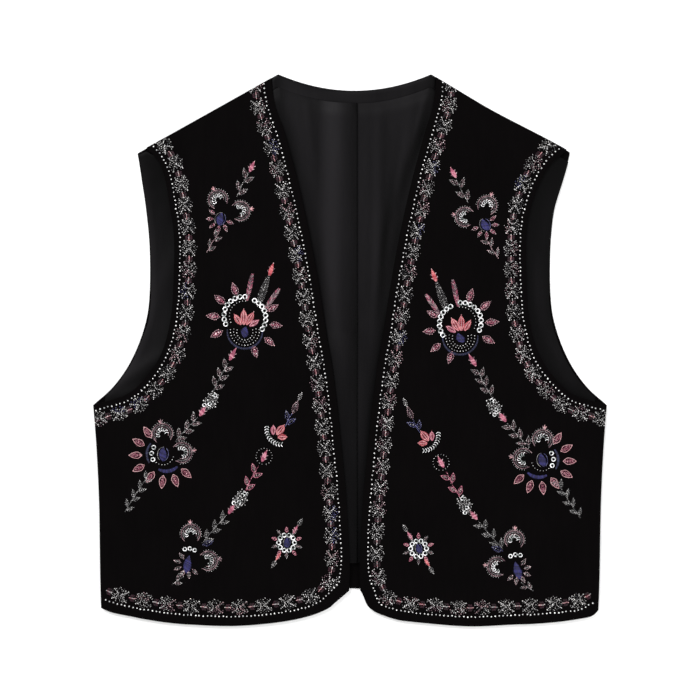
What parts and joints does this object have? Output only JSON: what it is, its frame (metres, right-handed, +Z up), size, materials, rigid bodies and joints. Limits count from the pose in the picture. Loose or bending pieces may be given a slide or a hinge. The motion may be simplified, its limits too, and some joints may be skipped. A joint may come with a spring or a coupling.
{
  "type": "sleeveless embroidered velvet waistcoat, laid flat",
  "caption": "Collarless open-front velvet waistcoat laid flat, lined, with beaded flower borders along its edges and embroidered sprays on both fronts.",
  "frame": {"origin": "middle of the garment's plan on the surface it lies on", "axes": "+X across it towards the wearer's left, +Y from hem to neck, +Z up from the surface"},
  "size_m": [0.48, 0.5163, 0.01],
  "materials": {
    "velvet": "black short-pile velvet",
    "satin_lining": "charcoal satin",
    "embroidery": "silver grey, dusty pink, coral and blue thread with glass seed beads and clear sequins"
  },
  "bodies": {
    "root": {"back": "velvet", "neck_facing": "satin_lining", "back_lining": "satin_lining", "front_right": "velvet", "edge_border_right": "embroidery", "armhole_border_right": "embroidery", "upper_spray_right": "embroidery", "main_spray_right": "embroidery", "lower_spray_right": "embroidery", "medallion_right": "embroidery", "front_left": "velvet", "edge_border_left": "embroidery", "armhole_border_left": "embroidery", "upper_spray_left": "embroidery", "main_spray_left": "embroidery", "lower_spray_left": "embroidery", "medallion_left": "embroidery"}
  },
  "joints": []
}
